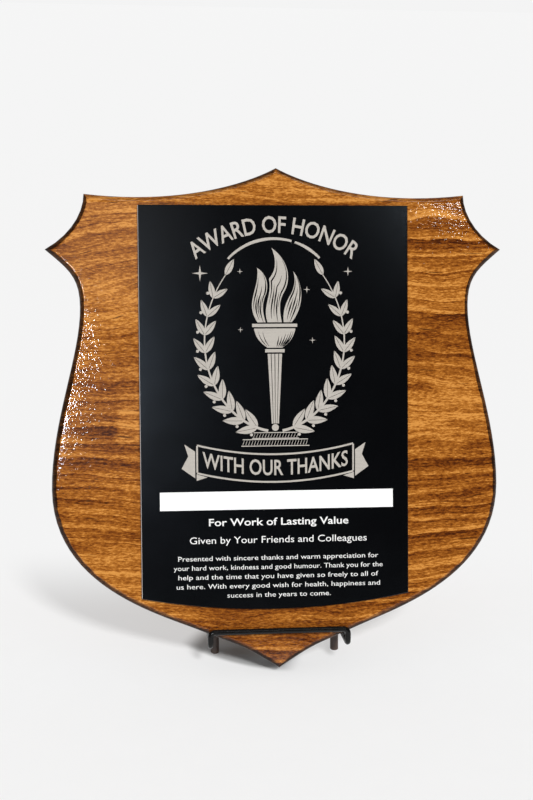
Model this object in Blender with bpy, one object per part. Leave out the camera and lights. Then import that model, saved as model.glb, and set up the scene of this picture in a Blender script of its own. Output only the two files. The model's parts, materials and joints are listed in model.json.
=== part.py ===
"""Shield-shaped award plaque standing on a folding wire easel.

Units are metres and +Z is up. The plaque's face looks along -Y and leans back.
Plaque pieces are drawn in the face's own frame: X to the right, Y up the face from its lower tip,
Z out of the face, with Z = 0 on the wood's front. Easel pieces are drawn in the uprights' frame:
X to the right, Y up the uprights from their feet, Z forward, with Z = 0 on the uprights' centre lines.
"""
import math

import bmesh
import bpy
from mathutils import Vector
from mathutils.geometry import interpolate_bezier

# How the two frames stand on the table
PLAQUE_LEAN = math.radians(17.0)
EASEL_LEAN = math.radians(13.4)
FOOT_BEHIND_TIP = 0.0103        # from the board's back at its tip to the uprights' feet
DEPTH_TO_CENTRE = 0.0320        # from the board's back at its tip to the middle of the whole depth
FACE_GAP = 0.0003               # between pieces that touch

# Shield board: 10 x 11 inch, 3/4 inch thick
BOARD_THICKNESS = 0.01905
FRONT_ROUNDOVER = 0.0030
FRONT_ROUNDOVER_STEPS = 4
BACK_CHAMFER = 0.0005
TIP = (0.0, 0.0)
LOWER_BEND = (0.0455, 0.0228)   # where the lower edge changes from hollow to full
FLANK = (0.1250, 0.1025)        # widest place
WAIST = (0.1083, 0.2030)
HORN = (0.1270, 0.2345)
TOP_CORNER = (0.1056, 0.2648)
PEAK = (0.0, 0.2794)

# Engraved plate and what is stuck under and on it
PLATE_WIDTH = 0.1493
PLATE_HEIGHT = 0.2167           # to its lower corners
PLATE_SAG = 0.0074              # how far the lower edge curves below the corners
PLATE_THICKNESS = 0.0008
PLATE_EDGE = 0.0003             # its front edge is broken by this much
PLATE_CENTRE = (-0.0016, 0.1501)
TAPE_SIZE = (0.1400, 0.0190)
TAPE_THICKNESS = 0.0006
TAPE_GAP = 0.0002
TAPE_RISE = 0.0890              # top and bottom strips, from the plate's centre
LABEL_SIZE = (0.1300, 0.0102)
LABEL_OFFSET = (0.0008, -0.0545)
LABEL_THICKNESS = 0.0002
LABEL_GAP = 0.0001

# Sawtooth hanger on the board's back
HANGER_HEIGHT_ON_BOARD = 0.2360
HANGER_WIDTH = 0.0090
HANGER_THICKNESS = 0.0008
HANGER_GAP = 0.0001
HANGER_HALF_LENGTH = 0.0225
LUG_INNER_END = 0.0155
RAISED_HALF_LENGTH = 0.0130
RAISED_BY = 0.0020
TOOTH_PITCH = 0.0020
TOOTH_DEPTH = 0.0014
TOOTH_COUNT = 12
NAIL_X = 0.0190
NAIL_SHANK_RADIUS = 0.0007
NAIL_HOLE_RADIUS = 0.0010
NAIL_HEAD_RADIUS = 0.0021
NAIL_HEAD_THICKNESS = 0.0008
NAIL_DEPTH = 0.0080
NAIL_HOLE_DEPTH = 0.0090

# Easel: 1/8 inch wire
WIRE_RADIUS = 0.0016
WIRE_SIDES_STEP = 6             # bevel resolution, for 16 sides
WIRE_PITCH = 2 * WIRE_RADIUS + FACE_GAP
BEND_STEP = math.radians(15.0)
RISER_X = 0.0386
UPRIGHT_X = RISER_X - WIRE_PITCH
UPRIGHT_START = 0.0024          # the wire's end inside the foot cap
TOP_CURL_RADIUS = 0.0045
LEDGE_DEPTH = 0.0296            # lip bar, forward of the uprights
LIP_HEIGHT = 0.0208
SEAT_HEIGHT = 0.0126
LIP_BEND = 0.0026
HINGE_HEIGHT = 0.1050
STOP_ABOVE_HINGE = 0.0100
CROSS_BAR_HALF = UPRIGHT_X + 0.0024
CAP_RADIUS = 0.0024
CAP_BORE = WIRE_RADIUS + FACE_GAP
CAP_TOP = 0.0105
CAP_FLOOR = 0.0019
CAP_SIDES = 24

# Rear leg
LEG_OPEN = math.radians(33.0)   # from the uprights
LEG_X = 0.0120
LEG_BEND = 0.0060
EYE_RADIUS = 2 * WIRE_RADIUS + 0.00035
EYE_SHIFT = 0.0036              # along the hinge bar, from the leg to its tail
TAIL_LENGTH = 0.0145


def clear_scene():
    for obj in list(bpy.data.objects):
        bpy.data.objects.remove(obj, do_unlink=True)


def material(name, colour, roughness, metallic=0.0):
    mat = bpy.data.materials.new(name)
    mat.use_nodes = True
    shader = mat.node_tree.nodes["Principled BSDF"]
    shader.inputs["Base Color"].default_value = (*colour, 1.0)
    shader.inputs["Roughness"].default_value = roughness
    shader.inputs["Metallic"].default_value = metallic
    return mat


def add_frame(name, location, rotation_x, parent=None):
    frame = bpy.data.objects.new(name, None)
    bpy.context.collection.objects.link(frame)
    frame.location = location
    frame.rotation_euler = (rotation_x, 0.0, 0.0)
    frame.parent = parent
    return frame


def add_object(name, data, mat, parent, location=(0.0, 0.0, 0.0)):
    obj = bpy.data.objects.new(name, data)
    bpy.context.collection.objects.link(obj)
    obj.parent = parent
    obj.location = location
    if mat is not None:
        data.materials.append(mat)
    return obj


def mesh_from(bm, name, smooth_angle=None):
    bmesh.ops.recalc_face_normals(bm, faces=bm.faces)
    mesh = bpy.data.meshes.new(name)
    bm.to_mesh(mesh)
    bm.free()
    if smooth_angle is not None:
        mesh.shade_smooth()
        mesh.set_sharp_from_angle(angle=smooth_angle)
    return mesh


def prism(outline, low, high):
    """A bmesh slab with this outline in X and Y, from Z = low to Z = high."""
    bm = bmesh.new()
    base = bm.faces.new([bm.verts.new((x, y, low)) for x, y in outline])
    top = bmesh.ops.extrude_face_region(bm, geom=[base])["geom"]
    moved = [item for item in top if isinstance(item, bmesh.types.BMVert)]
    bmesh.ops.translate(bm, verts=moved, vec=(0.0, 0.0, high - low))
    return bm


def rim_edges(bm, height):
    """Edges that lie in the plane Z = height, around a slab's face."""
    return [edge for edge in bm.edges if all(abs(v.co.z - height) < 1e-7 for v in edge.verts)]


def turned(profile, sides):
    """A bmesh solid of revolution about Y from (radius, y) points whose ends lie on the axis."""
    bm = bmesh.new()
    verts = [bm.verts.new((radius, y, 0.0)) for radius, y in profile]
    edges = [bm.edges.new(pair) for pair in zip(verts, verts[1:])]
    bmesh.ops.spin(bm, geom=verts + edges, cent=(0.0, 0.0, 0.0), axis=(0.0, 1.0, 0.0),
                   angle=2 * math.pi, steps=sides)
    bmesh.ops.remove_doubles(bm, verts=bm.verts, dist=1e-6)
    return bm


def rectangle(size, centre=(0.0, 0.0)):
    half_x, half_y = size[0] / 2, size[1] / 2
    corners = ((-half_x, -half_y), (half_x, -half_y), (half_x, half_y), (-half_x, half_y))
    return [(centre[0] + x, centre[1] + y) for x, y in corners]


# ---------------------------------------------------------------- plaque

def curve_points(start, out_angle, out_reach, end, in_angle, in_reach, steps):
    """A cubic curve's points without its last one; angles in degrees are its headings at both ends."""
    out_heading, in_heading = math.radians(out_angle), math.radians(in_angle)
    start, end = Vector(start), Vector(end)
    handle_out = start + out_reach * Vector((math.cos(out_heading), math.sin(out_heading)))
    handle_in = end - in_reach * Vector((math.cos(in_heading), math.sin(in_heading)))
    return [tuple(p) for p in interpolate_bezier(start, handle_out, handle_in, end, steps + 1)[:-1]]


def shield_outline():
    """The shield's outline, anticlockwise from its tip; the left half mirrors the right."""
    right = curve_points(TIP, 33, 0.0260, LOWER_BEND, 23, 0.0295, 10)
    right += curve_points(LOWER_BEND, 23, 0.0250, FLANK, 90, 0.0530, 24)
    right += curve_points(FLANK, 90, 0.0375, WAIST, 90, 0.0265, 16)
    right += curve_points(WAIST, 90, 0.0160, HORN, 40, 0.0175, 9)
    right += curve_points(HORN, 151, 0.0165, TOP_CORNER, 90, 0.0100, 7)
    right += curve_points(TOP_CORNER, 186.5, 0.0500, PEAK, 152, 0.0210, 20)
    left = [(-x, y) for x, y in reversed(right[1:])]
    return right + [PEAK] + left


def shield_board(mat, parent):
    bm = prism(shield_outline(), -BOARD_THICKNESS, 0.0)
    bmesh.ops.bevel(bm, geom=rim_edges(bm, 0.0), offset=FRONT_ROUNDOVER, segments=FRONT_ROUNDOVER_STEPS,
                    profile=0.5, affect="EDGES")
    bmesh.ops.bevel(bm, geom=rim_edges(bm, -BOARD_THICKNESS), offset=BACK_CHAMFER, segments=1,
                    profile=0.5, affect="EDGES")
    board = add_object("shield_board", mesh_from(bm, "shield_board", math.radians(40)), mat, parent)
    drill_at_nails(board, -BOARD_THICKNESS - FACE_GAP, -BOARD_THICKNESS + NAIL_HOLE_DEPTH)


def engraved_plate(mat, parent, back):
    half_x, half_y = PLATE_WIDTH / 2, PLATE_HEIGHT / 2
    arc_radius = (half_x ** 2 + PLATE_SAG ** 2) / (2 * PLATE_SAG)
    half_angle = math.asin(half_x / arc_radius)
    arc_centre_y = -half_y - PLATE_SAG + arc_radius
    arc_steps = 24
    outline = [(half_x, half_y), (-half_x, half_y)]
    for step in range(arc_steps + 1):
        angle = half_angle * (2 * step / arc_steps - 1)
        outline.append((arc_radius * math.sin(angle), arc_centre_y - arc_radius * math.cos(angle)))
    front = back + PLATE_THICKNESS
    bm = prism([(PLATE_CENTRE[0] + x, PLATE_CENTRE[1] + y) for x, y in outline], back, front)
    bmesh.ops.bevel(bm, geom=rim_edges(bm, front), offset=PLATE_EDGE, segments=1, profile=0.5,
                    affect="EDGES")
    add_object("engraved_plate", mesh_from(bm, "engraved_plate"), mat, parent)
    return front


def tape_strip(name, mat, parent, rise):
    outline = rectangle(TAPE_SIZE, (PLATE_CENTRE[0], PLATE_CENTRE[1] + rise))
    bm = prism(outline, TAPE_GAP, TAPE_GAP + TAPE_THICKNESS)
    add_object(name, mesh_from(bm, name), mat, parent)


def name_label(mat, parent, plate_front):
    centre = (PLATE_CENTRE[0] + LABEL_OFFSET[0], PLATE_CENTRE[1] + LABEL_OFFSET[1])
    low = plate_front + LABEL_GAP
    bm = prism(rectangle(LABEL_SIZE, centre), low, low + LABEL_THICKNESS)
    add_object("name_label", mesh_from(bm, "name_label"), mat, parent)


def drill_at_nails(piece, low, high):
    """Cut the two nail holes through a piece, from Z = low to Z = high in the face's frame."""
    for side in (-1, 1):
        bm = bmesh.new()
        bmesh.ops.create_cone(bm, cap_ends=True, segments=16, radius1=NAIL_HOLE_RADIUS,
                              radius2=NAIL_HOLE_RADIUS, depth=high - low)
        place = (side * NAIL_X, HANGER_HEIGHT_ON_BOARD, (low + high) / 2)
        cutter = add_object("nail_hole_cutter", mesh_from(bm, "nail_hole_cutter"), None, piece.parent, place)
        cutter.hide_render = True
        cutter.display_type = "WIRE"
        cut = piece.modifiers.new("nail_hole", "BOOLEAN")
        cut.operation = "DIFFERENCE"
        cut.object = cutter


def hanger_stations():
    """(x, how far raised, how deep the tooth is) along the stamped strip, from left to right."""
    left = [(-HANGER_HALF_LENGTH, 0.0, 0.0), (-LUG_INNER_END, 0.0, 0.0), (-RAISED_HALF_LENGTH, RAISED_BY, 0.0)]
    teeth_start = -TOOTH_COUNT * TOOTH_PITCH / 2
    teeth = [(teeth_start + step * TOOTH_PITCH / 2, RAISED_BY, TOOTH_DEPTH * (step % 2))
             for step in range(2 * TOOTH_COUNT + 1)]
    right = [(-x, raised, depth) for x, raised, depth in reversed(left)]
    return left + teeth + right


def sawtooth_hanger(mat, parent):
    low_edge = HANGER_HEIGHT_ON_BOARD - HANGER_WIDTH / 2
    high_edge = HANGER_HEIGHT_ON_BOARD + HANGER_WIDTH / 2
    inner = -BOARD_THICKNESS - HANGER_GAP
    bm = bmesh.new()
    sections = []
    for x, raised, depth in hanger_stations():
        near = inner - raised
        far = near - HANGER_THICKNESS
        corners = ((low_edge + depth, near), (high_edge, near), (high_edge, far), (low_edge + depth, far))
        sections.append([bm.verts.new((x, y, z)) for y, z in corners])
    for one, two in zip(sections, sections[1:]):
        for a in range(4):
            b = (a + 1) % 4
            bm.faces.new((one[a], one[b], two[b], two[a]))
    bm.faces.new(sections[0])
    bm.faces.new(sections[-1])
    hanger = add_object("sawtooth_hanger", mesh_from(bm, "sawtooth_hanger"), mat, parent)
    drill_at_nails(hanger, inner - HANGER_THICKNESS - FACE_GAP, inner + FACE_GAP)


def hanger_nail(name, mat, parent, x):
    """A round-headed nail, turned about its own Y, which points out of the board's back."""
    under_head = HANGER_GAP + HANGER_THICKNESS + HANGER_GAP
    profile = [(0.0, -NAIL_DEPTH), (NAIL_SHANK_RADIUS, -NAIL_DEPTH + 0.0014), (NAIL_SHANK_RADIUS, under_head)]
    profile += [(NAIL_HEAD_RADIUS, under_head), (NAIL_HEAD_RADIUS, under_head + 0.4 * NAIL_HEAD_THICKNESS)]
    profile += [(0.6 * NAIL_HEAD_RADIUS, under_head + 0.85 * NAIL_HEAD_THICKNESS)]
    profile += [(0.0, under_head + NAIL_HEAD_THICKNESS)]
    mesh = mesh_from(turned(profile, 16), name, math.radians(40))
    nail = add_object(name, mesh, mat, parent, (x, HANGER_HEIGHT_ON_BOARD, -BOARD_THICKNESS))
    nail.rotation_euler = (-math.pi / 2, 0.0, 0.0)


def build_plaque():
    wood = material("stained_pine", (0.36, 0.13, 0.03), 0.25)
    black = material("black_plate", (0.010, 0.010, 0.012), 0.35)
    tape = material("foam_tape", (0.75, 0.75, 0.72), 0.8)
    white = material("white_label", (0.9, 0.9, 0.9), 0.5)
    zinc = material("zinc_steel", (0.62, 0.61, 0.56), 0.35, 1.0)
    tip_height = (BOARD_THICKNESS - BACK_CHAMFER) * math.sin(PLAQUE_LEAN)
    tip_depth = -BOARD_THICKNESS * math.cos(PLAQUE_LEAN) - DEPTH_TO_CENTRE
    face = add_frame("plaque_frame", (0.0, tip_depth, tip_height), math.pi / 2 - PLAQUE_LEAN)
    shield_board(wood, face)
    for name, rise in (("top", TAPE_RISE), ("middle", 0.0), ("bottom", -TAPE_RISE)):
        tape_strip("tape_strip_" + name, tape, face, rise)
    plate_front = engraved_plate(black, face, 2 * TAPE_GAP + TAPE_THICKNESS)
    name_label(white, face, plate_front)
    sawtooth_hanger(zinc, face)
    hanger_nail("hanger_nail_left", zinc, face, -NAIL_X)
    hanger_nail("hanger_nail_right", zinc, face, NAIL_X)


# ---------------------------------------------------------------- easel

def bent_path(corners, radii, closed=False):
    """Points along a wire through these corners, with an arc of the given radius at each bend."""
    corners = [Vector(corner) for corner in corners]
    points = []
    for index, corner in enumerate(corners):
        if not closed and index in (0, len(corners) - 1):
            points.append(corner)
            continue
        before = (corners[index - 1] - corner).normalized()
        after = (corners[(index + 1) % len(corners)] - corner).normalized()
        turn = math.pi - before.angle(after)
        radius = radii[index]
        centre = corner + (before + after).normalized() * radius / math.cos(turn / 2)
        start = corner + before * radius * math.tan(turn / 2) - centre
        axis = before.cross(after).normalized()
        sideways = start.cross(axis)
        steps = max(2, math.ceil(turn / BEND_STEP))
        for step in range(steps + 1):
            angle = turn * step / steps
            points.append(centre + start * math.cos(angle) + sideways * math.sin(angle))
    return points


def wire(name, points, mat, parent, closed=False):
    data = bpy.data.curves.new(name, "CURVE")
    data.dimensions = "3D"
    data.bevel_depth = WIRE_RADIUS
    data.bevel_resolution = WIRE_SIDES_STEP
    data.use_fill_caps = True
    data.render_resolution_u = 0
    spline = data.splines.new("POLY")
    spline.points.add(len(points) - 1)
    for spline_point, co in zip(spline.points, points):
        spline_point.co = (*co, 1.0)
    spline.use_cyclic_u = closed
    spline.use_smooth = True
    return add_object(name, data, mat, parent)


def upright(name, mat, parent, side):
    """One upright: straight to where it meets the board's back, then curled a quarter turn backwards."""
    nearest = FOOT_BEHIND_TIP * math.cos(PLAQUE_LEAN) - WIRE_RADIUS - FACE_GAP
    straight_end = nearest / math.sin(PLAQUE_LEAN - EASEL_LEAN)
    top = straight_end + TOP_CURL_RADIUS
    x = side * UPRIGHT_X
    corners = [(x, UPRIGHT_START, 0.0), (x, top, 0.0), (x, top, -TOP_CURL_RADIUS - FACE_GAP)]
    wire(name, bent_path(corners, [0.0, TOP_CURL_RADIUS, 0.0]), mat, parent)


def ledge_wire(mat, parent):
    """The closed loop that holds the plaque's foot: lip bar, risers, seat rods and the bar behind."""
    corners = []
    radii = []
    for side in (-1, 1):
        stops = [((side * RISER_X, LIP_HEIGHT, LEDGE_DEPTH), LIP_BEND),
                 ((side * RISER_X, SEAT_HEIGHT, LEDGE_DEPTH), LIP_BEND),
                 ((side * RISER_X, SEAT_HEIGHT, -WIRE_PITCH), WIRE_PITCH)]
        ordered = stops if side > 0 else stops[::-1]
        corners += [corner for corner, radius in ordered]
        radii += [radius for corner, radius in ordered]
    wire("ledge_wire", bent_path(corners, radii, closed=True), mat, parent, closed=True)


def cross_bar(name, mat, parent, height):
    ends = [(-CROSS_BAR_HALF, height, -WIRE_PITCH), (CROSS_BAR_HALF, height, -WIRE_PITCH)]
    wire(name, [Vector(end) for end in ends], mat, parent)


def foot_cap(name, mat, parent, side):
    """A sleeve over an upright's end, cut level where it stands on the table."""
    below_table = 2 * CAP_RADIUS * math.tan(EASEL_LEAN)
    profile = [(0.0, -below_table), (CAP_RADIUS, -below_table), (CAP_RADIUS, CAP_TOP)]
    profile += [(CAP_BORE, CAP_TOP), (CAP_BORE, CAP_FLOOR), (0.0, CAP_FLOOR)]
    bm = turned(profile, CAP_SIDES)
    world_up = Vector((0.0, math.cos(EASEL_LEAN), math.sin(EASEL_LEAN)))
    everything = bm.verts[:] + bm.edges[:] + bm.faces[:]
    cut = bmesh.ops.bisect_plane(bm, geom=everything, plane_co=(0.0, 0.0, 0.0), plane_no=world_up,
                                 clear_inner=True)["geom_cut"]
    bmesh.ops.contextual_create(bm, geom=[item for item in cut if isinstance(item, bmesh.types.BMEdge)])
    mesh = mesh_from(bm, name, math.radians(40))
    add_object(name, mesh, mat, parent, (side * UPRIGHT_X, 0.0, 0.0))


def rear_leg_side(side, leg_length):
    """One half of the leg wire, from the top of its tail, round the hinge bar, to the foot's corner.

    Drawn about the hinge axis: Y along the uprights, Z forward. The turn angle runs from the back of
    the bar over its top: at 0 the wire heads straight up, and at LEG_OPEN it is in line with the leg.
    """
    tail_x = side * (LEG_X + EYE_SHIFT)
    points = [Vector((tail_x, TAIL_LENGTH, -EYE_RADIUS))]
    sweep = 2 * math.pi - LEG_OPEN
    steps = math.ceil(sweep / BEND_STEP)
    for step in range(steps + 1):
        angle = 2 * math.pi - sweep * step / steps
        x = tail_x - side * EYE_SHIFT * step / steps
        points.append(Vector((x, EYE_RADIUS * math.sin(angle), -EYE_RADIUS * math.cos(angle))))
    down = Vector((0.0, -math.cos(LEG_OPEN), -math.sin(LEG_OPEN)))
    points.append(points[-1] + down * leg_length)
    return points


def rear_leg_wire(mat, parent):
    tangent_y = HINGE_HEIGHT + EYE_RADIUS * math.sin(LEG_OPEN)
    tangent_z = -WIRE_PITCH - EYE_RADIUS * math.cos(LEG_OPEN)
    height = tangent_y * math.cos(EASEL_LEAN) + tangent_z * math.sin(EASEL_LEAN)
    leg_length = (height - WIRE_RADIUS) / math.cos(LEG_OPEN - EASEL_LEAN)
    left = rear_leg_side(-1, leg_length)
    right = rear_leg_side(1, leg_length)[::-1]
    foot = bent_path([left[-2], left[-1], right[0], right[1]], [0.0, LEG_BEND, LEG_BEND, 0.0])
    wire("rear_leg_wire", left[:-2] + foot + right[2:], mat, parent)


def build_easel():
    black = material("black_wire", (0.015, 0.015, 0.016), 0.3)
    vinyl = material("brown_vinyl", (0.07, 0.045, 0.035), 0.5)
    feet = add_frame("easel_frame", (0.0, FOOT_BEHIND_TIP - DEPTH_TO_CENTRE, 0.0), math.pi / 2 - EASEL_LEAN)
    for name, side in (("left", -1), ("right", 1)):
        upright(name + "_upright", black, feet, side)
        foot_cap(name + "_foot_cap", vinyl, feet, side)
    ledge_wire(black, feet)
    cross_bar("hinge_bar", black, feet, HINGE_HEIGHT)
    cross_bar("stop_bar", black, feet, HINGE_HEIGHT + STOP_ABOVE_HINGE)
    hinge = add_frame("rear_leg_hinge", (0.0, HINGE_HEIGHT, -WIRE_PITCH), 0.0, feet)
    rear_leg_wire(black, hinge)


clear_scene()
build_plaque()
build_easel()
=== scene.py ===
"""Looks for the award plaque and its wire easel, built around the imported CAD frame.

Lengths are metres unless a name ends in _MM. Engraved shapes are drawn in millimetres on the plate,
from its centre: x to the right and y up the face.
"""
import json
import math

import bmesh
import bpy
import numpy as np
from mathutils import Matrix, Vector
from mathutils.geometry import interpolate_bezier


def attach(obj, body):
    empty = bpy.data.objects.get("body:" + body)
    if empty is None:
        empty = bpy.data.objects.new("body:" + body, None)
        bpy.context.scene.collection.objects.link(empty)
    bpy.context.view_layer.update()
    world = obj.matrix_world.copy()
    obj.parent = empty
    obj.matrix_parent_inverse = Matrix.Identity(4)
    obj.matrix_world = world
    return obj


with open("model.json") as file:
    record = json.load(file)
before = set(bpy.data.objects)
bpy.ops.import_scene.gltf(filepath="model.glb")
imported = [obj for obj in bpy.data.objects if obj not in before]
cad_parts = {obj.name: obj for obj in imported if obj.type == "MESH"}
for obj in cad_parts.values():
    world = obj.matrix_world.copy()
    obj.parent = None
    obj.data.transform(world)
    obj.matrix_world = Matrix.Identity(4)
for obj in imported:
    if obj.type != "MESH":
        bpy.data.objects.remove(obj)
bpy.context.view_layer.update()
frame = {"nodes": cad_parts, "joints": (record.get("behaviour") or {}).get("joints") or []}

MM = 0.001
RIGHT = Vector((1.0, 0.0, 0.0))
UP_FACE = Vector(next(j["axis"] for j in frame["joints"] if j["name"] == "plaque_lift")).normalized()
OUT_OF_FACE = RIGHT.cross(UP_FACE)
LEAN = math.acos(UP_FACE.z)


# ------------------------------------------------------------------ the face's own frame

def node_points(name):
    return np.array([v.co for v in frame["nodes"][name].data.vertices])


def spread(points, direction):
    """Lowest and highest place of some points along a direction."""
    along = points @ np.array(direction)
    return along.min(), along.max()


BOARD = node_points("shield_board")
PLATE = node_points("engraved_plate")
WOOD_FRONT = spread(BOARD, OUT_OF_FACE)[1]
PLATE_FRONT = spread(PLATE, OUT_OF_FACE)[1]


def plate_centre():
    """(x, up, out) of the middle of the plate's face, halfway between its straight corners."""
    right_side = PLATE[PLATE[:, 0] > PLATE[:, 0].max() - 0.5 * MM]
    low, high = spread(right_side, UP_FACE)
    return (PLATE[:, 0].min() + PLATE[:, 0].max()) / 2, (low + high) / 2, PLATE_FRONT


PLATE_X, PLATE_UP, PLATE_OUT = plate_centre()


def face_point(x, up, out):
    return RIGHT * x + UP_FACE * up + OUT_OF_FACE * out


def on_plate(x_mm, y_mm, proud=0.0):
    """A world point from plate millimetres, standing proud of the plate by some metres."""
    return face_point(PLATE_X + x_mm * MM, PLATE_UP + y_mm * MM, PLATE_OUT + proud)


# ------------------------------------------------------------------ camera

CAMERA_FROM_PLATE = 0.6217
CAMERA_SLIDE = (0.00483, -0.00103)       # how far the plate's centre is right of and below the view's axis
CAMERA_YAW = math.radians(4.94)
CAMERA_PITCH = math.radians(2.40)
CAMERA_ROLL = math.radians(0.42)
CAMERA_LENS_MM = 50.49


def add_camera():
    """A camera that sees the face turned by the yaw, pitch and roll above."""
    turn = (Matrix.Rotation(CAMERA_ROLL, 3, "Z") @ Matrix.Rotation(CAMERA_PITCH, 3, "X")
            @ Matrix.Rotation(CAMERA_YAW, 3, "Y"))
    face_axes = Matrix((RIGHT, UP_FACE, OUT_OF_FACE)).transposed()
    camera_axes = face_axes @ turn.transposed()
    plate_in_view = Vector((CAMERA_SLIDE[0], CAMERA_SLIDE[1], -CAMERA_FROM_PLATE))
    camera = bpy.data.objects.new("camera", bpy.data.cameras.new("camera"))
    bpy.context.collection.objects.link(camera)
    place = on_plate(0, 0) - camera_axes @ plate_in_view
    camera.matrix_world = Matrix.Translation(place) @ camera_axes.to_4x4()
    camera.data.lens = CAMERA_LENS_MM
    camera.data.clip_start = 0.01
    bpy.context.scene.camera = camera


# ------------------------------------------------------------------ shader helpers

class Shader:
    """A material's node tree, with short calls for the nodes used here."""

    def __init__(self, name):
        self.material = bpy.data.materials.new(name)
        self.material.use_nodes = True
        self.nodes = self.material.node_tree.nodes
        self.links = self.material.node_tree.links
        self.principled = self.nodes["Principled BSDF"]

    def add(self, kind, values=None, **settings):
        made = self.nodes.new(kind)
        for key, value in settings.items():
            setattr(made, key, value)
        for key, value in (values or {}).items():
            self.put(made.inputs[key], value)
        return made

    def put(self, socket, value):
        if isinstance(value, bpy.types.NodeSocket):
            self.links.new(value, socket)
        else:
            socket.default_value = value

    def surface(self, **values):
        """Set the Principled shader's inputs; underscores stand for spaces."""
        for key, value in values.items():
            self.put(self.principled.inputs[key.replace("_", " ")], value)

    def math(self, operation, a, b=0.0, clamp=False):
        return self.add("ShaderNodeMath", {0: a, 1: b}, operation=operation, use_clamp=clamp).outputs[0]

    def join(self, x, y, z=0.0):
        return self.add("ShaderNodeCombineXYZ", {"X": x, "Y": y, "Z": z}).outputs[0]

    def split(self, vector):
        """The X, Y and Z outputs of a vector."""
        return self.add("ShaderNodeSeparateXYZ", {"Vector": vector}).outputs

    def length(self, vector):
        return self.add("ShaderNodeVectorMath", {0: vector}, operation="LENGTH").outputs["Value"]

    def ramp(self, factor, stops, smooth=False):
        """Colours or grey levels along a factor: stops are (place, level or colour)."""
        made = self.add("ShaderNodeValToRGB", {"Fac": factor})
        made.color_ramp.interpolation = "EASE" if smooth else "LINEAR"
        elements = made.color_ramp.elements
        elements[0].position = stops[0][0]
        elements[1].position = stops[-1][0]
        for place, _ in stops[1:-1]:
            elements.new(place)
        for element, (place, colour) in zip(elements, stops):
            level = colour if isinstance(colour, tuple) else (colour, colour, colour)
            element.color = (*level, 1.0)
        return made.outputs["Color"]

    def mix(self, factor, a, b, blend="MIX"):
        made = self.add("ShaderNodeMix", data_type="RGBA", blend_type=blend)
        self.put(made.inputs[0], factor)
        self.put(made.inputs[6], a if isinstance(a, bpy.types.NodeSocket) else (*a, 1.0))
        self.put(made.inputs[7], b if isinstance(b, bpy.types.NodeSocket) else (*b, 1.0))
        return made.outputs[2]

    def noise(self, vector, scale, detail=2.0, roughness=0.5, distortion=0.0):
        values = {"Vector": vector, "Scale": scale, "Detail": detail, "Roughness": roughness,
                  "Distortion": distortion}
        return self.add("ShaderNodeTexNoise", values).outputs["Fac"]

    def scaled(self, vector, scale, offset=(0.0, 0.0, 0.0)):
        values = {"Vector": vector, "Scale": scale, "Location": offset}
        return self.add("ShaderNodeMapping", values).outputs[0]

    def sway(self, place, scale, reach, detail=2.0, roughness=0.5, offset=(0.0, 0.0, 0.0)):
        """Noise that swings to either side of nought; the scale is in swings per metre along each axis."""
        value = self.noise(self.scaled(place, scale, offset), 1.0, detail, roughness)
        return self.math("MULTIPLY", self.math("SUBTRACT", value, 0.5), reach)

    def total(self, first, *others):
        for other in others:
            first = self.math("ADD", first, other)
        return first

    def face_coordinates(self):
        """Object coordinates turned into (x, up the face, out of the face)."""
        coordinates = self.add("ShaderNodeTexCoord").outputs["Object"]
        turn = (-(math.pi / 2 - LEAN), 0.0, 0.0)
        return self.add("ShaderNodeMapping", {"Vector": coordinates, "Rotation": turn}).outputs[0]

    def object_coordinates(self):
        return self.add("ShaderNodeTexCoord").outputs["Object"]

    def facing(self, direction):
        """1 where the surface faces along a direction of the object's space, -1 where it faces away."""
        normal = self.add("ShaderNodeTexCoord").outputs["Normal"]
        made = self.add("ShaderNodeVectorMath", {0: normal, 1: tuple(direction)}, operation="DOT_PRODUCT")
        return made.outputs["Value"]

    def bump(self, height, distance, strength=1.0, under=None):
        values = {"Height": height, "Distance": distance, "Strength": strength}
        if under is not None:
            values["Normal"] = under
        return self.add("ShaderNodeBump", values).outputs["Normal"]


# ------------------------------------------------------------------ materials

PINE_DARK = (0.044, 0.0083, 0.0007)
PINE_BROWN = (0.137, 0.0325, 0.0024)
PINE_AMBER = (0.250, 0.0755, 0.0067)
PINE_HONEY = (0.400, 0.1440, 0.0195)
PINE_PALE = (0.585, 0.2500, 0.0510)
PINE_TONES = ((0.02, PINE_DARK), (0.28, PINE_BROWN), (0.55, PINE_AMBER), (0.80, PINE_HONEY), (1.0, PINE_PALE))
PINE_BACK = (0.40, 0.24, 0.115)
# Dark stain of the rim's end grain, which also serves as painted shade on the rim where it faces sideways.
RIM_STAIN_AND_SHADE = (0.009, 0.0040, 0.0020)
RIM_STREAK = (0.075, 0.0260, 0.0070)
RING_PITCH = 0.0085
RING_FADE = ((0.0, 0.20), (0.05, 1.0), (0.45, 0.72), (0.74, 0.28), (0.82, 0.0), (1.0, 0.0))
HEART_BEHIND_FACE = 0.110
HEART_UP = PLATE_UP + 0.340


def growth_lines(s, place):
    """Where each point lies in the tree: along its trunk, and across it from a heart above the board."""
    x, y, z = s.split(place)
    wander = s.sway(place, (5.0, 13.0, 13.0), 0.050)
    ripple = s.sway(place, (28.0, 60.0, 40.0), 0.0065)
    height = s.total(y, wander, ripple, -HEART_UP)
    return s.join(x, height, s.total(z, HEART_BEHIND_FACE - WOOD_FRONT))


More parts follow.
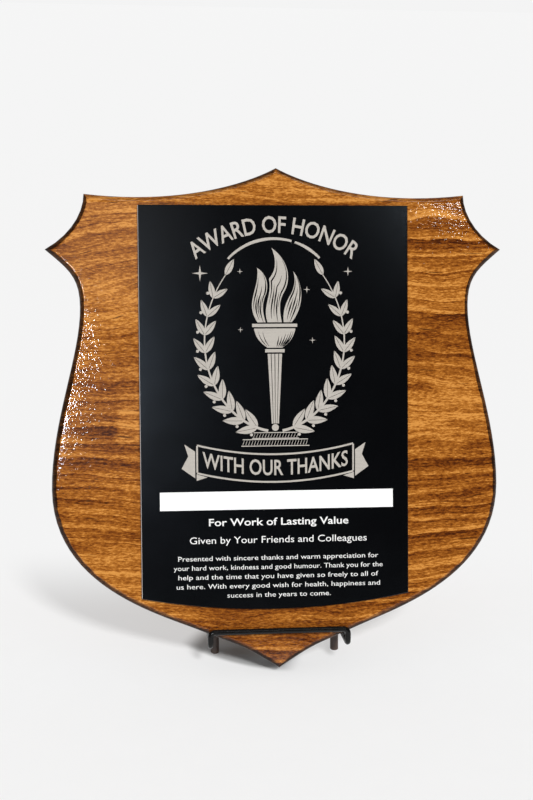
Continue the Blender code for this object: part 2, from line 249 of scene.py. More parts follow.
# Spots of the figure: centre and reach in plate millimetres, change of the rings' strength, change of tone
FIGURE_SPOTS = (
    ((98, -9), (52, 17), -0.75, -0.02),      # pale sapwood beside the plate, right
    ((98, -44), (60, 19), 0.35, -0.04),      # the strongest bands
    ((98, 33), (60, 17), 0.35, -0.04),
    ((98, -86), (50, 22), 0.00, 0.05),
    ((-98, 88), (46, 34), -0.50, 0.00),      # calm top left
    ((-97, 50), (34, 17), -0.30, -0.04),     # golden waist
    ((-106, 3), (24, 19), -0.50, -0.13),     # brown cloud
    ((-80, -14), (9, 11), -0.40, 0.20),      # golden fleck at the plate
    ((-100, -70), (50, 24), -0.22, -0.09),
    ((0, 118), (80, 9), -0.20, 0.06),
    ((0, -138), (70, 30), 0.00, -0.12),      # darker tip
)


def figure_spots(s, place):
    """Sum of the spots' changes: (rings' strength, tone)."""
    across, up, _ = s.split(place)
    across = s.total(across, s.sway(place, (25.0, 45.0, 45.0), 0.020, 3.0, 0.6, (0.0, 7.7, 0.0)))
    up = s.total(up, s.sway(place, (32.0, 70.0, 70.0), 0.014, 3.0, 0.6))
    wobbled = s.join(across, up)
    rings, tone = [], []
    for (x, y), reach, ring_change, tone_change in FIGURE_SPOTS:
        scale = (1 / (reach[0] * MM), 1 / (reach[1] * MM), 0.0)
        offset = (-(PLATE_X + x * MM) * scale[0], -(PLATE_UP + y * MM) * scale[1], 0.0)
        distance = s.length(s.scaled(wobbled, scale, offset))
        inside = s.ramp(distance, [(0.0, 1.0), (0.72, 1.0), (1.0, 0.0)], smooth=True)
        rings.append(s.math("MULTIPLY", inside, ring_change))
        tone.append(s.math("MULTIPLY", inside, tone_change))
    return s.total(*rings), s.total(*tone)


def ring_darkness(s, lines, place, change):
    """Latewood: dark where a ring starts, fading across it, and stronger in some years than in others."""
    _, up, out = s.split(lines)
    feather = s.sway(place, (90.0, 300.0, 300.0), 0.42, 3.0, 0.6)
    year = s.total(s.math("DIVIDE", s.length(s.join(0.0, up, out)), RING_PITCH), feather)
    seed = {"W": s.math("FLOOR", year)}
    strength = s.add("ShaderNodeTexWhiteNoise", seed, noise_dimensions="1D").outputs["Value"]
    fade = s.ramp(s.math("FRACT", year), RING_FADE)
    patches = s.sway(place, (7.0, 17.0, 17.0), 2.4, 1.0, 0.5, (3.1, 0.9, 0.0))
    local = s.math("ADD", s.total(patches, change), 0.72, clamp=True)
    depth = s.total(s.math("MULTIPLY", strength, 0.60), 0.40)
    bands = s.math("MULTIPLY", s.math("MULTIPLY", fade, local), depth)
    return s.total(bands, s.math("MULTIPLY", local, 0.16))


def pine_tone(s, place):
    """Grey level of the stained figure, and the fine dark dashes in it."""
    lines = growth_lines(s, place)
    ring_change, tone_change = figure_spots(s, place)
    rings = ring_darkness(s, lines, place, ring_change)
    fibres = s.sway(lines, (22.0, 760.0, 620.0), 1.35, 3.0, 0.65)
    speckle = s.sway(place, (420.0, 1300.0, 900.0), 1.55, 2.0, 0.7)
    blotch = s.sway(place, (10.0, 22.0, 24.0), 0.90, 3.0, 0.6, (1.7, 0.4, 0.0))
    tone = s.total(s.math("MULTIPLY", rings, -0.66), fibres, speckle, blotch, tone_change, 0.85)
    dash = s.noise(s.scaled(lines, (42.0, 760.0, 300.0), (0.0, 5.0, 0.0)), 1.0, 1.0, 0.4)
    dashes = s.ramp(dash, [(0.0, 1.0), (0.25, 1.0), (0.30, 0.0), (1.0, 0.0)])
    return tone, dashes


def stained_pine():
    """Stained, dipped-looking pine: figure, dark end grain round the rim, which is also painted shade where
    the rim faces sideways, and a rippled gloss coat.
    """
    s = Shader("stained_pine_lacquer")
    place = s.face_coordinates()
    tone, dashes = pine_tone(s, place)
    wood = s.ramp(tone, PINE_TONES)
    wood = s.mix(s.math("MULTIPLY", dashes, 0.85), wood, PINE_DARK)
    front = s.facing(OUT_OF_FACE)
    rounded = s.ramp(front, [(0.0, 1.0), (0.975, 1.0), (0.994, 0.0), (1.0, 0.0)])
    # Real stain together with painted shade: the rim is darkest where it faces sideways and stays paler where
    # it faces up, as if lit from above.
    sideways = s.math("ABSOLUTE", s.facing(RIGHT))
    end_grain_and_shade = s.ramp(sideways, [(0.02, 0.25), (0.22, 1.0), (1.0, 1.0)])
    behind = s.ramp(s.math("MULTIPLY", front, -1.0), [(0.6, 0.0), (0.9, 1.0)])
    rim_stain_and_shade = s.math("MULTIPLY", s.math("MULTIPLY", rounded, end_grain_and_shade), s.math("SUBTRACT", 1.0, behind))
    rim = s.mix(s.ramp(tone, [(0.45, 0.0), (1.0, 0.8)]), RIM_STAIN_AND_SHADE, RIM_STREAK)
    wood = s.mix(s.math("MULTIPLY", rim_stain_and_shade, 0.96), wood, rim)
    wood = s.mix(s.math("MULTIPLY", behind, 0.45), wood, PINE_BACK)
    peel = s.noise(place, 900.0, 1.0, 0.5)
    ripple = s.noise(place, 150.0, 2.0, 0.5)
    relief = s.total(s.math("MULTIPLY", peel, 0.50), s.math("MULTIPLY", ripple, 0.34))
    lacquer = s.bump(relief, 0.000093, 1.0)
    coat = s.total(0.9, s.math("MULTIPLY", behind, -0.75), s.math("MULTIPLY", rim_stain_and_shade, -0.55))
    s.surface(Base_Color=wood, Roughness=0.45, Normal=s.bump(tone, 0.00010, 0.7), Coat_Roughness=0.035,
              Coat_Weight=coat, Coat_Normal=lacquer, Specular_IOR_Level=0.05)
    return s.material


def black_plate():
    """Satin black coating with a fine speckle; bare metal on the cut sides, and a painted highlight in the
    bare metal's colour along the edge that faces left.
    """
    s = Shader("black_plate_satin")
    place = s.face_coordinates()
    speckle = s.noise(place, 2200.0, 1.0, 0.5)
    cloud = s.noise(place, 40.0, 3.0, 0.6)
    front = s.facing(OUT_OF_FACE)
    cut_side = s.ramp(front, [(0.0, 1.0), (0.40, 1.0), (0.60, 0.0), (1.0, 0.0)])
    # Painted highlight: edges that face left take the pale bare-metal colour, standing in for light caught
    # there.
    leftward = s.math("MULTIPLY", s.facing(RIGHT), -1.0)
    painted_left_highlight = s.ramp(leftward, [(0.0, 0.0), (0.3, 0.0), (0.6, 1.0), (1.0, 1.0)])
    bare = s.math("MAXIMUM", cut_side, painted_left_highlight)
    coating = s.mix(speckle, (0.0004, 0.0004, 0.0005), (0.0016, 0.0016, 0.0020))
    uneven = s.math("MULTIPLY", s.math("SUBTRACT", cloud, 0.5), 0.06)
    rough = s.total(0.17, uneven, s.math("MULTIPLY", bare, 0.1))
    s.surface(Base_Color=s.mix(bare, coating, (0.62, 0.60, 0.58)), Roughness=rough,
              Metallic=s.math("MULTIPLY", bare, 0.35), Specular_IOR_Level=0.36,
              Specular_Tint=(0.76, 0.88, 1.0, 1.0), Normal=s.bump(speckle, 0.00002, 0.6))
    return s.material


def engraved_metal(name, whiteness):
    """Laser-cut marking: pale, dull, with the faint lines of the beam's passes; paint-filled it is whiter."""
    s = Shader(name)
    place = s.face_coordinates()
    grit = s.noise(place, 3200.0, 2.0, 0.6)
    passes = s.noise(s.scaled(place, (60.0, 5200.0, 60.0)), 1.0, 1.0, 0.5)
    tone = s.math("ADD", s.math("MULTIPLY", grit, 0.5), s.math("MULTIPLY", passes, 0.5))
    bare = s.ramp(tone, [(0.25, (0.33, 0.305, 0.27)), (0.55, (0.47, 0.435, 0.39)), (0.8, (0.56, 0.53, 0.48))])
    colour = s.mix(whiteness, bare, (0.84, 0.84, 0.83))
    s.surface(Base_Color=colour, Roughness=0.62, Metallic=0.15, Normal=s.bump(tone, 0.00003, 0.5))
    return s.material


def foam_tape():
    s = Shader("foam_tape_cut")
    cells = s.noise(s.object_coordinates(), 2500.0, 2.0, 0.7)
    colour = s.ramp(cells, [(0.3, (0.50, 0.49, 0.46)), (0.7, (0.78, 0.77, 0.73))])
    s.surface(Base_Color=colour, Roughness=0.85, Normal=s.bump(cells, 0.0001, 0.8))
    return s.material


def white_label():
    s = Shader("white_label_film")
    fibre = s.noise(s.object_coordinates(), 1800.0, 3.0, 0.6)
    colour = s.ramp(fibre, [(0.3, (0.86, 0.86, 0.86)), (0.7, (0.93, 0.93, 0.93))])
    s.surface(Base_Color=colour, Roughness=0.55, Normal=s.bump(fibre, 0.00002, 0.4))
    return s.material


def zinc_steel():
    s = Shader("zinc_plated_steel")
    place = s.object_coordinates()
    spangle = s.noise(place, 900.0, 3.0, 0.6)
    drawn = s.noise(s.scaled(place, (200.0, 4000.0, 4000.0)), 1.0, 2.0, 0.5)
    tone = s.math("ADD", s.math("MULTIPLY", spangle, 0.5), s.math("MULTIPLY", drawn, 0.5))
    colour = s.ramp(tone, [(0.25, (0.42, 0.40, 0.34)), (0.75, (0.68, 0.66, 0.58))])
    rough = s.ramp(spangle, [(0.3, 0.28), (0.7, 0.46)])
    s.surface(Base_Color=colour, Metallic=1.0, Roughness=rough, Normal=s.bump(tone, 0.00003, 0.5))
    return s.material


def black_enamel():
    """Dipped gloss enamel on wire: slow waves in the film and a few dull spots."""
    s = Shader("black_enamel_wire")
    place = s.object_coordinates()
    waves = s.noise(place, 420.0, 2.0, 0.5)
    dust = s.noise(place, 2600.0, 2.0, 0.6)
    colour = s.ramp(waves, [(0.3, (0.003, 0.003, 0.003)), (0.7, (0.008, 0.0075, 0.007))])
    rough = s.ramp(dust, [(0.35, 0.13), (0.75, 0.24)])
    s.surface(Base_Color=colour, Roughness=rough, Specular_IOR_Level=0.22, Normal=s.bump(waves, 0.00006, 0.8))
    return s.material


def brown_vinyl():
    s = Shader("brown_vinyl_cap")
    place = s.object_coordinates()
    skin = s.noise(place, 1500.0, 3.0, 0.6)
    scuff = s.noise(place, 260.0, 3.0, 0.6)
    colour = s.ramp(scuff, [(0.3, (0.045, 0.028, 0.021)), (0.7, (0.085, 0.055, 0.043))])
    s.surface(Base_Color=colour, Roughness=0.48, Normal=s.bump(skin, 0.00004, 0.6))
    return s.material


# ------------------------------------------------------------------ mesh helpers

def mesh_object(name, mesh, material, body):
    obj = bpy.data.objects.new(name, mesh)
    bpy.context.collection.objects.link(obj)
    mesh.materials.clear()
    mesh.materials.append(material)
    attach(obj, body)


SAME_POINT = 2e-6                        # corners nearer than this are one point of the surface


def soften(obj, angle):
    """Give a CAD node rounded shading: faces that meet at less than the angle share their normals."""
    mesh = obj.data
    count = len(mesh.vertices)
    points = np.empty(count * 3)
    mesh.vertices.foreach_get("co", points)
    points = points.reshape(-1, 3)
    corners = np.empty(len(mesh.loops), int)
    mesh.loops.foreach_get("vertex_index", corners)
    triangles = corners.reshape(-1, 3)
    a, b, c = (points[triangles[:, k]] for k in range(3))
    weighted = np.cross(b - a, c - a)
    size = np.linalg.norm(weighted, axis=1, keepdims=True)
    unit = weighted / np.maximum(size, 1e-20)
    cells = np.round(points[corners] / SAME_POINT).astype(np.int64)
    keys = np.unique(cells, axis=0, return_inverse=True)[1].ravel()
    order = np.argsort(keys, kind="stable")
    starts = np.searchsorted(keys[order], np.arange(keys.max() + 2))
    normals = np.empty((len(corners), 3))
    limit = math.cos(angle)
    for start, end in zip(starts, starts[1:]):
        group = order[start:end]
        faces = group // 3
        near = (unit[faces] @ unit[faces].T) > limit
        normals[group] = near @ weighted[faces]
    normals /= np.maximum(np.linalg.norm(normals, axis=1, keepdims=True), 1e-20)
    mesh.polygons.foreach_set("use_smooth", [True] * len(mesh.polygons))
    mesh.normals_split_custom_set(normals.tolist())


def paint_node(name, material, angle=math.radians(40)):
    node = frame["nodes"][name]
    soften(node, angle)
    for slot in node.material_slots:
        slot.material = material


# ------------------------------------------------------------------ engraving: flat shapes

ENGRAVING_LOW = 0.00001
ENGRAVING_HIGH = 0.00004
COATING_LEFT = 0.00005                   # black lines left standing inside a marked area
HAIR = 1e-7                              # step in height between shapes that overlap
HAIR_STEPS = 40                          # after this many steps the heights start again
SAME_PLACE_MM = 0.01                     # corners of an outline nearer than this are one
LETTER_JOIN = 1e-7                       # corners of a letter nearer than this are joined


def curve(start, start_handle, end_handle, end, steps=12):
    """Points of a cubic curve, both ends included."""
    corners = [Vector((*p, 0.0)) for p in (start, start_handle, end_handle, end)]
    return [(p.x, p.y) for p in interpolate_bezier(*corners, steps + 1)]


def arc(centre, radius, start_deg, end_deg, steps=24):
    angles = np.radians(np.linspace(start_deg, end_deg, steps + 1))
    return [(centre[0] + radius * math.cos(a), centre[1] + radius * math.sin(a)) for a in angles]


def stroke(points, start_width, end_width=None, middle_width=None):
    """The outline of a line whose width runs from start to end, by way of a middle width."""
    end_width = start_width if end_width is None else end_width
    middle_width = (start_width + end_width) / 2 if middle_width is None else middle_width
    line = np.array(points, float)
    along = np.gradient(line, axis=0)
    along /= np.maximum(np.linalg.norm(along, axis=1, keepdims=True), 1e-9)
    across = np.stack([-along[:, 1], along[:, 0]], 1)
    t = np.linspace(0.0, 1.0, len(line))
    width = np.interp(t, (0.0, 0.5, 1.0), (start_width, middle_width, end_width))[:, None] / 2
    left = line + across * width
    right = line - across * width
    return [tuple(p) for p in left] + [tuple(p) for p in right[::-1]]


def mirrored(shapes):
    return shapes + [[(-x, y) for x, y in reversed(shape)] for shape in shapes]


def engrave(name, shapes, material, height=ENGRAVING_HIGH):
    """One thin closed piece on the plate for each outline; each stands a hair higher than the last."""
    bm = bmesh.new()
    for index, shape in enumerate(shapes):
        top_height = height + HAIR * (index % HAIR_STEPS)
        cleaned = [p for p, q in zip(shape, shape[1:] + shape[:1]) if math.dist(p, q) > SAME_PLACE_MM]
        area = sum(x1 * y2 - x2 * y1 for (x1, y1), (x2, y2) in zip(cleaned, cleaned[1:] + cleaned[:1]))
        if area < 0:
            cleaned.reverse()
        top = [bm.verts.new(on_plate(x, y, top_height)) for x, y in cleaned]
        base = [bm.verts.new(on_plate(x, y, ENGRAVING_LOW)) for x, y in cleaned]
        bm.faces.new(top)
        bm.faces.new(base[::-1])
        for a in range(len(top)):
            b = (a + 1) % len(top)
            bm.faces.new((top[b], top[a], base[a], base[b]))
    bm.normal_update()
    bmesh.ops.triangulate(bm, faces=[f for f in bm.faces if len(f.verts) > 4])
    mesh = bpy.data.meshes.new(name)
    bm.to_mesh(mesh)
    bm.free()
    mesh_object(name, mesh, material, "plaque")


# ------------------------------------------------------------------ engraving: lettering

def letter_mesh(text, bold):
    """The text as flat outlines one unit high, extruded by a little, centred on x = 0."""
    data = bpy.data.curves.new("lettering", "FONT")
    data.body = text
    data.align_x = "CENTER"
    data.size = 1.0
    data.offset = bold
    data.extrude = 0.01
    data.resolution_u = 3
    holder = bpy.data.objects.new("lettering", data)
    bpy.context.collection.objects.link(holder)
    bpy.context.view_layer.update()
    mesh = bpy.data.meshes.new_from_object(holder.evaluated_get(bpy.context.evaluated_depsgraph_get()))
    bpy.data.objects.remove(holder)
    bpy.data.curves.remove(data)
    return mesh


def lettering(name, text, centre, height, material, width, bold=0.0, bend_radius=None, sag=0.0):
    """Engraved text in millimetres: capitals this high, squeezed to the width, on a line that can arch.

    bend_radius arches the line upwards about a centre below it; sag bows it downwards by that depth.
    """
    mesh = letter_mesh(text, bold)
    points = np.array([v.co for v in mesh.vertices])
    capital = letter_mesh("H", bold)
    unit = height / max(v.co.y for v in capital.vertices)
    bpy.data.meshes.remove(capital)
    left, right = points[:, 0].min(), points[:, 0].max()
    stretch = width / (right - left)
    for vert in mesh.vertices:
        x = (vert.co.x - (left + right) / 2) * stretch
        y = vert.co.y * unit - height / 2
        if bend_radius is not None:
            angle = x / bend_radius
            radius = bend_radius + y
            x, y = radius * math.sin(angle), radius * math.cos(angle) - bend_radius
        y -= sag * (1.0 - (2 * x / width) ** 2)
        proud = ENGRAVING_HIGH if vert.co.z > 0 else ENGRAVING_LOW
        vert.co = on_plate(centre[0] + x, centre[1] + y, proud)
    bm = bmesh.new()
    bm.from_mesh(mesh)
    bmesh.ops.remove_doubles(bm, verts=bm.verts, dist=LETTER_JOIN)
    bm.to_mesh(mesh)
    bm.free()
    mesh.name = name
    mesh_object(name, mesh, material, "plaque")


# ------------------------------------------------------------------ engraving: the emblem

def leaf(base, heading_deg, length, width):
    """Two halves of a pointed leaf with a bare vein between them."""
    heading = math.radians(heading_deg)
    forward = np.array((math.cos(heading), math.sin(heading)))
    left = np.array((-forward[1], forward[0]))
    half_vein = 0.10
    halves = []
    for side in (-1, 1):
        edge = []
        for t in np.linspace(0.0, 1.0, 11):
            swell = math.sin(math.pi * t ** 0.8) ** 0.9
            edge.append(np.array(base) + forward * length * t + left * side * (half_vein + width / 2 * swell))
        vein = [np.array(base) + forward * length * t + left * side * half_vein for t in (0.97, 0.5, 0.03)]
        halves.append([tuple(p) for p in edge + vein])
    return halves


def laurel_branch():
    """The right-hand branch: a stem, leaves in pairs along it, a leaf at its end and berries."""
    steps = 44
    stem = curve((4, -16), (34, -10), (52, 34), (27, 70), steps)
    shapes = [stroke(stem, 1.5, 0.5)]
    for index in range(3, steps - 1, 4):
        base = stem[index]
        ahead = stem[index + 1]
        heading = math.degrees(math.atan2(ahead[1] - base[1], ahead[0] - base[0]))
        size = 1.0 - 0.28 * index / steps
        for side in (-1, 1):
            shapes += leaf(base, heading + side * 34, 12.5 * size, 4.3 * size)
        berry = arc(base, 5.2 * size, heading - 72, heading - 72, 1)[0]
        shapes.append(arc(berry, 0.85, 0, 345, 14))
    shapes += leaf(stem[-1], 118, 10, 3.6)
    return shapes


def flame_tongues():
    """Left and right side of each tongue of fire, from its foot to its tip, with as many points each."""
    left = (curve((-9.5, 44), (-17, 55), (-8, 62), (-9.5, 74), 24),
            curve((-5.0, 44), (-6.5, 49), (-7.5, 54), (-4.5, 60))
            + curve((-4.5, 60), (-3.5, 64), (-3.5, 70), (-9.5, 74))[1:])
    heart = (curve((-4.0, 44), (-7, 53), (-1, 59), (-3, 68))
             + curve((-3, 68), (1.5, 73), (1.0, 79), (-1.5, 85))[1:],
             curve((4.0, 44), (3.0, 49), (2.0, 55), (5.0, 60))
             + curve((5.0, 60), (9.0, 66), (9.5, 77), (-1.5, 85))[1:])
    right = (curve((5.0, 44), (4.5, 50), (6.0, 54), (8.2, 58))
             + curve((8.2, 58), (12, 64), (11.5, 69), (10.5, 72))[1:],
             curve((9.5, 44), (16, 52), (17, 64), (10.5, 72), 24))
    return left, heart, right


BOWL_SIDE = curve((4.2, 30), (6, 31.5), (10.5, 34), (11.5, 40.6))


def flow_line(side, other_side, place, start, end, width):
    """A tapered line between two sides of a shape: place is how far across, start and end how far up."""
    line = np.array(side) * (1.0 - place) + np.array(other_side) * place
    steps = len(line) - 1
    return stroke(line[round(start * steps):round(end * steps) + 1], 0.12, 0.08, width)


def torch_shading():
    """Black lines left inside the flame and the bowl, as an engraver shades a round shape."""
    shapes = []
    for tongue in flame_tongues():
        for place, start, end in ((0.16, 0.20, 0.84), (0.36, 0.04, 0.50), (0.55, 0.10, 0.66),
                                  (0.74, 0.02, 0.44), (0.88, 0.24, 0.88)):
            shapes.append(flow_line(*tongue, place, start, end, 0.85))
    middle_line = [(0.0, y) for _, y in BOWL_SIDE]
    for place in (0.22, 0.40, 0.56, 0.70, 0.82, 0.92):
        shapes.append(flow_line(middle_line, BOWL_SIDE, place, 0.08, 0.95 - 0.3 * (1 - place), 0.75))
    for place in (0.60, 0.82):
        shapes.append(flow_line(middle_line, [(-x, y) for x, y in BOWL_SIDE], place, 0.2, 0.9, 0.5))
    return shapes


def torch():
    """A fluted torch: bowl, collars and a tapering handle with grooves, under its flame."""
    shapes = [left + right[::-1] for left, right in flame_tongues()]
    shapes.append([(-12.5, 41.4), (12.5, 41.4), (12.5, 43.2), (-12.5, 43.2)])
    shapes.append([(-x, y) for x, y in reversed(BOWL_SIDE)] + BOWL_SIDE)
    shapes.append([(-5.4, 27.4), (5.4, 27.4), (5.4, 29.2), (-5.4, 29.2)])
    top_half, foot_half = 4.2, 2.1
    flutes, gap = 4, 0.05
    for flute in range(flutes):
        low = -1.0 + 2.0 * flute / flutes
        high = low + 2.0 / flutes
        shapes.append([((low + gap) * foot_half, -12.0), ((high - gap) * foot_half, -12.0),
                       ((high - gap) * top_half, 26.6), ((low + gap) * top_half, 26.6)])
    shapes.append(arc((0, -14.2), 1.9, 0, 348, 28))
    return shapes


def mound():
    """Stepped stone under the torch, each block hatched on its shaded side."""
    shapes = []
    margin, pitch = 0.8, 1.6
    for y, half, height in ((-24.4, 19.0, 3.6), (-20.2, 13.0, 3.2)):
        shapes.append(stroke([(-half, y), (half, y)], 0.5))
        shapes.append(stroke([(-half + margin, y + height), (half - margin, y + height)], 0.5))
        for step in range(int(half * 2 / pitch)):
            x = -half + margin + step * pitch
            shapes.append(stroke([(x, y + 0.5), (x + 0.9, y + height - 0.5)], 0.32, 0.16))
    return shapes


def sparkle(centre, size):
    """A four-pointed glint with hollow sides."""
    points = []
    for corner in range(4):
        for turn, radius in ((0, size), (45, size * 0.20)):
            angle = math.radians(corner * 90 + turn)
            points.append((centre[0] + radius * math.cos(angle), centre[1] + radius * math.sin(angle)))
    return points


def halo():
    """A broken ring over the flame, and a few glints beside it."""
    shapes = [stroke(arc((0, 55), 35.0, start, end), 1.2, 1.2, 1.7) for start, end in ((44, 71), (74, 137))]
    glints = ((-41, 71, 4.4), (41, 72, 2.6), (-19, 72, 1.6), (18, 62, 2.0), (-19, 40, 1.6), (21, 34, 1.8))
    return shapes + [sparkle((x, y), size) for x, y, size in glints]


def ribbon():
    """A sagging banner drawn as an outline, with folded ends that hang behind it."""
    half, bow = 43.5, 0.0029
    xs = np.linspace(-half, half, 33)
    shapes = [stroke([(x, end - bow * (half ** 2 - x ** 2)) for x in xs], 1.0) for end in (-23.6, -39.0)]
    ends = [stroke([(half, -23.9), (half, -38.7)], 0.95)]
    ends.append([(half + 1.1, -27.0), (half + 7.0, -23.0), (half + 4.9, -29.6), (half + 8.6, -36.4),
                 (half + 1.1, -41.8)])
    ends.append([(half + 0.4, -39.6), (half - 5.6, -41.4), (half + 0.4, -43.2)])
    return shapes + mirrored(ends)


def engrave_plate(marking, paint, coating):
    engrave("engraved_laurel", mirrored(laurel_branch()), marking)
    engrave("engraved_torch", torch(), marking)
    engrave("coating_left_in_torch", torch_shading(), coating, COATING_LEFT)
    engrave("engraved_stone", mound(), marking)
    engrave("engraved_halo", halo(), marking)
    engrave("engraved_ribbon", ribbon(), marking)
    lettering("engraved_title", "AWARD OF HONOR", (0, 97.8), 9.0, marking, 99, bold=0.014, bend_radius=76)
    lettering("engraved_motto", "WITH OUR THANKS", (0, -31.4), 8.4, marking, 81, bold=0.014, sag=5.0)
    lettering("engraved_line_1", "For Work of Lasting Value", (1.7, -66.5), 4.0, paint, 78, bold=0.012)
    lettering("engraved_line_2", "Given by Your Friends and Colleagues", (1.5, -76.5), 3.7, paint, 99)
    paragraph = (("Presented with sincere thanks and warm appreciation for", 112),
                 ("your hard work, kindness and good humour. Thank you for the", 117),
                 ("help and the time that you have given so freely to all of", 112),
                 ("us here. With every good wish for health, happiness and", 114),
                 ("success in the years to come.", 58))
    for row, (line, width) in enumerate(paragraph):
        lettering("engraved_words_%d" % (row + 1), line, (1.5, -86.6 - 5.2 * row), 2.6, paint, width)


# ------------------------------------------------------------------ easel welds

EASEL_LEAN = math.radians(13.4)
UP_EASEL = Vector((0.0, math.sin(EASEL_LEAN), math.cos(EASEL_LEAN)))
OUT_OF_EASEL = RIGHT.cross(UP_EASEL)
WELD_REACH = 0.0019                      # along and across the wires
WELD_THICKNESS = 0.0010                  # from the touching point into each wire
WELD_LUMPS = 0.10


def middle(name, direction):
    low, high = spread(node_points(name), direction)
    return (low + high) / 2


def weld(name, right, up, out, through, enamel):
    """A flattened bead where two wires cross; through is the direction from one wire to the other."""
    bm = bmesh.new()
    bmesh.ops.create_uvsphere(bm, u_segments=16, v_segments=10, radius=1.0)
    spin = through.to_track_quat("Z", "Y").to_matrix()
    place = RIGHT * right + UP_EASEL * up + OUT_OF_EASEL * out
    for vert in bm.verts:
        x, y, z = vert.co
        lump = 1.0 + WELD_LUMPS * math.sin(3.0 * x + 60.0 * right) * math.cos(4.0 * y)
        shaped = Vector((x * WELD_REACH, y * WELD_REACH, z * WELD_THICKNESS)) * lump
        vert.co = place + spin @ shaped
    mesh = bpy.data.meshes.new(name)
    bm.to_mesh(mesh)
    bm.free()
    mesh.shade_smooth()
    mesh_object(name, mesh, enamel, "easel")


def middle_of_upright():
    """How far forward the uprights' centre lines stand; their tops curl back, so the front is measured."""
    low, high = spread(node_points("left_upright"), RIGHT)
    return spread(node_points("left_upright"), OUT_OF_EASEL)[1] - (high - low) / 2


def weld_easel(enamel):
    """Beads where each upright meets the seat rod beside it and the three bars behind it."""
    wire = spread(node_points("hinge_bar"), UP_EASEL)
    radius = (wire[1] - wire[0]) / 2
    seat_up = spread(node_points("ledge_wire"), UP_EASEL)[0] + radius
    rod = spread(node_points("ledge_wire"), RIGHT)[1] - radius
    behind = (middle("hinge_bar", OUT_OF_EASEL) + middle_of_upright()) / 2
    heights = {"ledge": seat_up, "hinge": middle("hinge_bar", UP_EASEL), "stop": middle("stop_bar", UP_EASEL)}
    for side in ("left", "right"):
        x = middle(side + "_upright", RIGHT)
        beside = (x + math.copysign(rod, x)) / 2
        weld(side + "_seat_weld", beside, seat_up, middle_of_upright(), RIGHT, enamel)
        for bar, up in heights.items():
            weld("%s_%s_weld" % (side, bar), x, up, behind, OUT_OF_EASEL, enamel)


# ------------------------------------------------------------------ stage and lights

BLACK = (0.0, 0.0, 0.0)
FLOOR_HALF = 300.0
FLOOR_GREY = 0.39
FLOOR_GLOW = 0.494
PAINTED_SHADOW_CENTRE = (-0.022, -0.026)              # painted contact shadow: where the floor glows least, under the board's edge left of its tip
DIM_TURN = math.radians(-28)             # the spot lies along the front of that edge's shadow
DIM_REACH_SIDE = 0.038
DIM_REACH_BACK = 0.050
DIM_REACH_FRONT = 0.010
SWEEP_START = 0.02                       # how far back the floor starts and ends turning into backdrop
SWEEP_END = 0.12
BACKDROP_LIGHT = 0.904
SKY_AT_HORIZON = 0.15
SKY_OVERHEAD = 0.60
ROOM_IN_FRONT = 0.03                     # what gloss mirrors of the room, in front and behind
ROOM_BEHIND = 0.30
KEY_STRENGTH = 2.8
PANEL_DISTANCE = 2.0
WINDOW_BLUE = (0.84, 0.90, 1.0)
WALL_WARM = (1.0, 0.90, 0.80)
CEILING_WARM = (1.0, 0.90, 0.82)


def painted_shadow_spot(s, place):
    """Painted contact shadow on the floor: 0 where the floor glows least, rising to 1 at the spot's rim."""
    spot = {"Vector": place, "Location": (*PAINTED_SHADOW_CENTRE, 0.0), "Rotation": (0.0, 0.0, DIM_TURN)}
    x, y, _ = s.split(s.add("ShaderNodeMapping", spot, vector_type="TEXTURE").outputs[0])
    aside = s.math("DIVIDE", x, DIM_REACH_SIDE)
    back = s.math("DIVIDE", y, DIM_REACH_BACK)
    front = s.math("DIVIDE", y, -DIM_REACH_FRONT)
    away = s.length(s.join(aside, s.math("MAXIMUM", back, front)))
    return s.ramp(away, [(0.0, 0.0), (0.6, 0.10), (1.0, 1.0)], smooth=True)


def floor_paper():
    """Matt paper that also glows as painted light, so that shadows on it stay pale except in a painted
    contact shadow close to the board's tip.

    Behind the object the glow takes over and the paper meets the backdrop with no seam.
    """
    s = Shader("floor_paper")
    place = s.object_coordinates()
    # The floor's glow is painted light; it is taken away in a painted contact shadow under the board's edge.
    glow = s.mix(painted_shadow_spot(s, place), BLACK, (FLOOR_GLOW,) * 3)
    depth = s.math("DIVIDE", s.split(place)["Y"], SWEEP_END)
    sweep = s.ramp(depth, [(SWEEP_START / SWEEP_END, 0.0), (1.0, 1.0)], smooth=True)
    tooth = s.noise(place, 60.0, 4.0, 0.6)
    paper = s.ramp(tooth, [(0.3, FLOOR_GREY - 0.003), (0.7, FLOOR_GREY + 0.003)])
    s.surface(Base_Color=s.mix(sweep, paper, BLACK), Roughness=0.9, Specular_IOR_Level=0.1,
              Emission_Color=s.mix(sweep, glow, (BACKDROP_LIGHT,) * 3), Emission_Strength=1.0)
    return s.material


def add_floor():
    bm = bmesh.new()
    bmesh.ops.create_grid(bm, x_segments=8, y_segments=8, size=FLOOR_HALF)
    mesh = bpy.data.meshes.new("floor")
    bm.to_mesh(mesh)
    bm.free()
    floor = bpy.data.objects.new("floor", mesh)
    bpy.context.collection.objects.link(floor)
    mesh.materials.append(floor_paper())


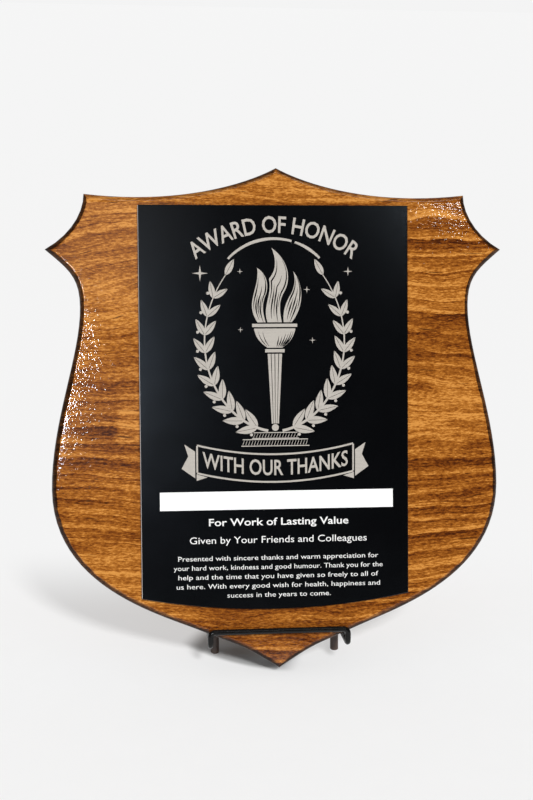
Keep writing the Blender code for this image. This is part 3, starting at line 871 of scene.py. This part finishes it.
def add_world():
    """A pale backdrop, lit mostly from overhead; gloss mirrors a dim room in front and a pale one behind."""
    world = bpy.data.worlds.new("studio")
    world.use_nodes = True
    nodes, links = world.node_tree.nodes, world.node_tree.links
    heading = nodes.new("ShaderNodeSeparateXYZ")
    links.new(nodes.new("ShaderNodeTexCoord").outputs["Generated"], heading.inputs[0])
    rays = nodes.new("ShaderNodeLightPath")

    def graded(axis, start, end, start_light, end_light):
        """Light that changes evenly between two heights or depths of the direction looked in."""
        grade = nodes.new("ShaderNodeMapRange")
        links.new(heading.outputs[axis], grade.inputs["Value"])
        settings = {"From Min": start, "From Max": end, "To Min": start_light, "To Max": end_light}
        for key, value in settings.items():
            grade.inputs[key].default_value = value
        return grade.outputs[0]

    def chosen(kind_of_ray, light, otherwise):
        pick = nodes.new("ShaderNodeMix")
        links.new(rays.outputs[kind_of_ray], pick.inputs[0])
        if isinstance(otherwise, bpy.types.NodeSocket):
            links.new(otherwise, pick.inputs[2])
        else:
            pick.inputs[2].default_value = otherwise
        links.new(light, pick.inputs[3])
        return pick.outputs[0]

    lit = chosen("Is Diffuse Ray", graded("Z", 0.0, 1.0, SKY_AT_HORIZON, SKY_OVERHEAD), BACKDROP_LIGHT)
    lit = chosen("Is Glossy Ray", graded("Y", -0.2, 0.6, ROOM_IN_FRONT, ROOM_BEHIND), lit)
    links.new(lit, nodes["Background"].inputs["Strength"])
    nodes["Background"].inputs["Color"].default_value = (1.0, 1.0, 1.0, 1.0)
    bpy.context.scene.world = world


def direction(azimuth_deg, elevation_deg):
    """A unit vector from the object: azimuth 0 is straight in front, positive to the right."""
    azimuth, elevation = math.radians(azimuth_deg), math.radians(elevation_deg)
    return Vector((math.sin(azimuth) * math.cos(elevation), -math.cos(azimuth) * math.cos(elevation),
                   math.sin(elevation)))


def add_lamp(name, kind, azimuth, elevation, distance, energy):
    light = bpy.data.lights.new(name, kind)
    light.energy = energy
    lamp = bpy.data.objects.new(name, light)
    bpy.context.collection.objects.link(lamp)
    away = direction(azimuth, elevation)
    lamp.location = on_plate(0, 0) + away * distance
    lamp.rotation_euler = away.to_track_quat("Z", "Y").to_euler()
    return lamp


def add_mirror_light(name, azimuth, elevation, size, brightness, colour=(1.0, 1.0, 1.0)):
    """A panel that shows only in gloss, as windows and lamps of the room do."""
    energy = brightness * math.pi * size[0] * size[1]
    lamp = add_lamp(name, "AREA", azimuth, elevation, PANEL_DISTANCE, energy)
    lamp.data.shape = "RECTANGLE"
    lamp.data.size, lamp.data.size_y = size
    lamp.data.color = colour
    lamp.visible_diffuse = False


def add_lights():
    add_world()
    sun = add_lamp("key_sun", "SUN", 19, 42.5, 3.0, KEY_STRENGTH)
    sun.data.angle = math.radians(9)
    sun.visible_glossy = False
    add_mirror_light("window_left", -12.0, 16.2, (0.09, 0.27), 90.0, WINDOW_BLUE)
    add_mirror_light("lamp_right", 20.5, 29, (0.09, 0.11), 36.0)
    add_mirror_light("ceiling_left", -14, 26, (0.80, 0.36), 0.75, CEILING_WARM)
    add_mirror_light("wall_left", -8.2, 13.5, (0.40, 0.26), 0.45, WALL_WARM)
    add_mirror_light("ceiling_strip", 12, 58, (0.90, 0.14), 7.0)
    bpy.context.scene.view_settings.view_transform = "Standard"


# ------------------------------------------------------------------ build

add_camera()
paint_node("shield_board", stained_pine(), math.radians(35))
coating = black_plate()
paint_node("engraved_plate", coating, math.radians(20))
paint_node("name_label", white_label())
tape = foam_tape()
for strip in ("top", "middle", "bottom"):
    paint_node("tape_strip_" + strip, tape)
zinc = zinc_steel()
for name in ("sawtooth_hanger", "hanger_nail_left", "hanger_nail_right"):
    paint_node(name, zinc)
enamel = black_enamel()
for name in ("left_upright", "right_upright", "ledge_wire", "hinge_bar", "stop_bar", "rear_leg_wire"):
    paint_node(name, enamel, math.radians(60))
weld_easel(enamel)
vinyl = brown_vinyl()
for name in ("left_foot_cap", "right_foot_cap"):
    paint_node(name, vinyl)
engrave_plate(engraved_metal("engraved_marking", 0.0), engraved_metal("engraved_paint_fill", 0.9), coating)
add_floor()
add_lights()
